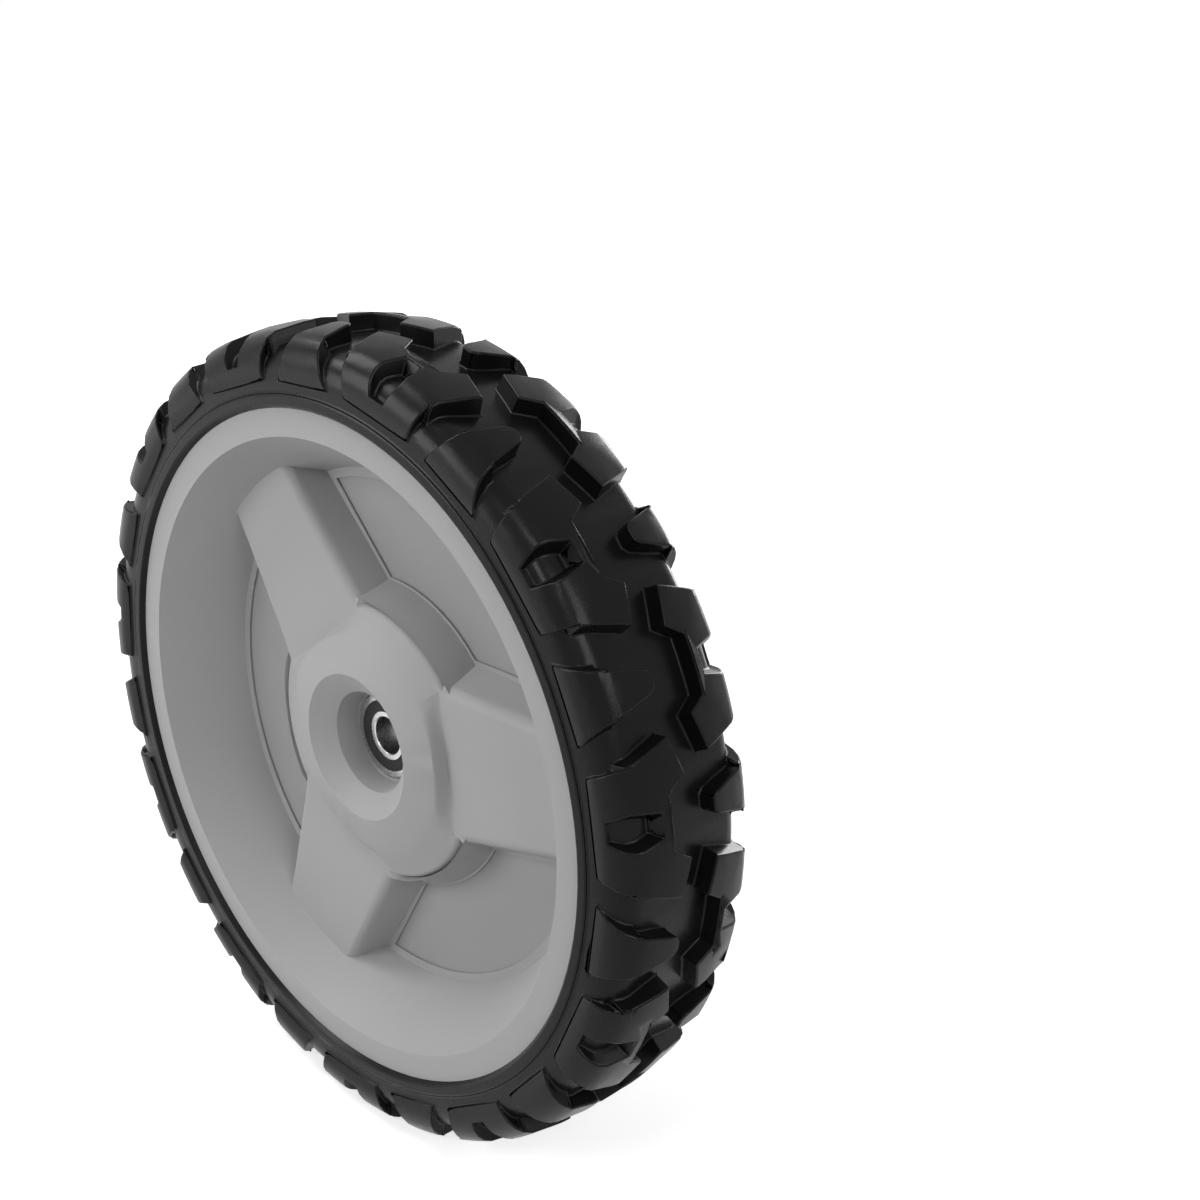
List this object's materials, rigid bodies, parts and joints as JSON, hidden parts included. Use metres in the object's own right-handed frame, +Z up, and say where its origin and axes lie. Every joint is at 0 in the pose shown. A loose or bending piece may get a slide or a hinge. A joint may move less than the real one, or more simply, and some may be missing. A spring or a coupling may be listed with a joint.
{
  "type": "lawn mower wheel",
  "caption": "Dished plastic mower wheel with broad spokes, a black block-tread rubber tyre and sealed ball bearings in its hub.",
  "frame": {"origin": "centre of the wheel, on its axle line and half way across its width", "axes": "+Y along the axle towards the mower, so the dished face looks to -Y; +Z up"},
  "size_m": [0.2538, 0.0474, 0.2536],
  "materials": {
    "tyre_rubber": "semi-gloss moulded rubber",
    "rim_plastic": "satin moulded",
    "bearing_steel": "ground and polished",
    "bright_steel": "turned",
    "screw_steel": "zinc plated",
    "seal_rubber": "matt"
  },
  "bodies": {
    "axle_side": {"spacer_tube": "bright_steel", "front_bearing_inner_ring": "bearing_steel", "rear_bearing_inner_ring": "bearing_steel"},
    "wheel": {"tyre": "tyre_rubber", "rim": "rim_plastic", "back_plate": "rim_plastic", "back_plate_screw_1": "screw_steel", "back_plate_screw_2": "screw_steel", "back_plate_screw_3": "screw_steel", "front_bearing_outer_ring": "bearing_steel", "front_bearing_front_seal": "seal_rubber", "front_bearing_back_seal": "seal_rubber", "rear_bearing_outer_ring": "bearing_steel", "rear_bearing_front_seal": "seal_rubber", "rear_bearing_back_seal": "seal_rubber"},
    "front_bearing_ball_set": {"front_bearing_cage": "bright_steel", "front_bearing_ball_1": "bearing_steel", "front_bearing_ball_2": "bearing_steel", "front_bearing_ball_3": "bearing_steel", "front_bearing_ball_4": "bearing_steel", "front_bearing_ball_5": "bearing_steel", "front_bearing_ball_6": "bearing_steel", "front_bearing_ball_7": "bearing_steel", "front_bearing_ball_8": "bearing_steel"},
    "rear_bearing_ball_set": {"rear_bearing_cage": "bright_steel", "rear_bearing_ball_1": "bearing_steel", "rear_bearing_ball_2": "bearing_steel", "rear_bearing_ball_3": "bearing_steel", "rear_bearing_ball_4": "bearing_steel", "rear_bearing_ball_5": "bearing_steel", "rear_bearing_ball_6": "bearing_steel", "rear_bearing_ball_7": "bearing_steel", "rear_bearing_ball_8": "bearing_steel"}
  },
  "joints": [
    {"name": "wheel_spin", "type": "hinge", "parent": "axle_side", "child": "wheel", "pos_m": [0, 0, 0], "axis": [0, 1, 0], "continuous": true},
    {"name": "front_bearing_ball_set_spin", "type": "hinge", "parent": "axle_side", "child": "front_bearing_ball_set", "pos_m": [0, 0, 0], "axis": [0, 1, 0], "continuous": true},
    {"name": "rear_bearing_ball_set_spin", "type": "hinge", "parent": "axle_side", "child": "rear_bearing_ball_set", "pos_m": [0, 0, 0], "axis": [0, 1, 0], "continuous": true}
  ],
  "couplings": [
    {"joint": "front_bearing_ball_set_spin", "follows": "wheel_spin", "ratio": 0.61905},
    {"joint": "rear_bearing_ball_set_spin", "follows": "wheel_spin", "ratio": 0.61905}
  ]
}
